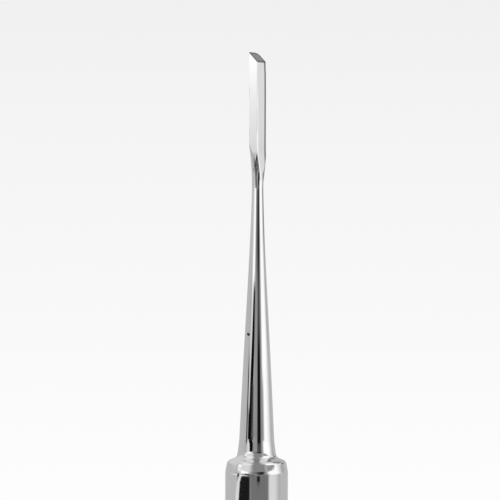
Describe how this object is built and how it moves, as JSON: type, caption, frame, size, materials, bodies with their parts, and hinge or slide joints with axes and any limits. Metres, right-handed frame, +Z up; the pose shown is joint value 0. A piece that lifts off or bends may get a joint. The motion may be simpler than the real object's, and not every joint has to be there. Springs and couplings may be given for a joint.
{
  "type": "enamel chisel",
  "caption": "Straight enamel chisel in one piece of polished steel: flat bevelled blade, waisted taper shank, shoulder and smooth round handle.",
  "frame": {"origin": "at the centre of the flat butt that the chisel stands on", "axes": "+Z up along the axis from the butt to the cutting edge, -Y towards the viewer of the picture, +X to that viewer's right"},
  "size_m": [0.006, 0.006, 0.16],
  "materials": {
    "polished_steel": "mirror-polished stainless steel, with a finer satin grind on the blade's flats and bevel"
  },
  "bodies": {
    "root": {"chisel": "polished_steel"}
  },
  "joints": []
}
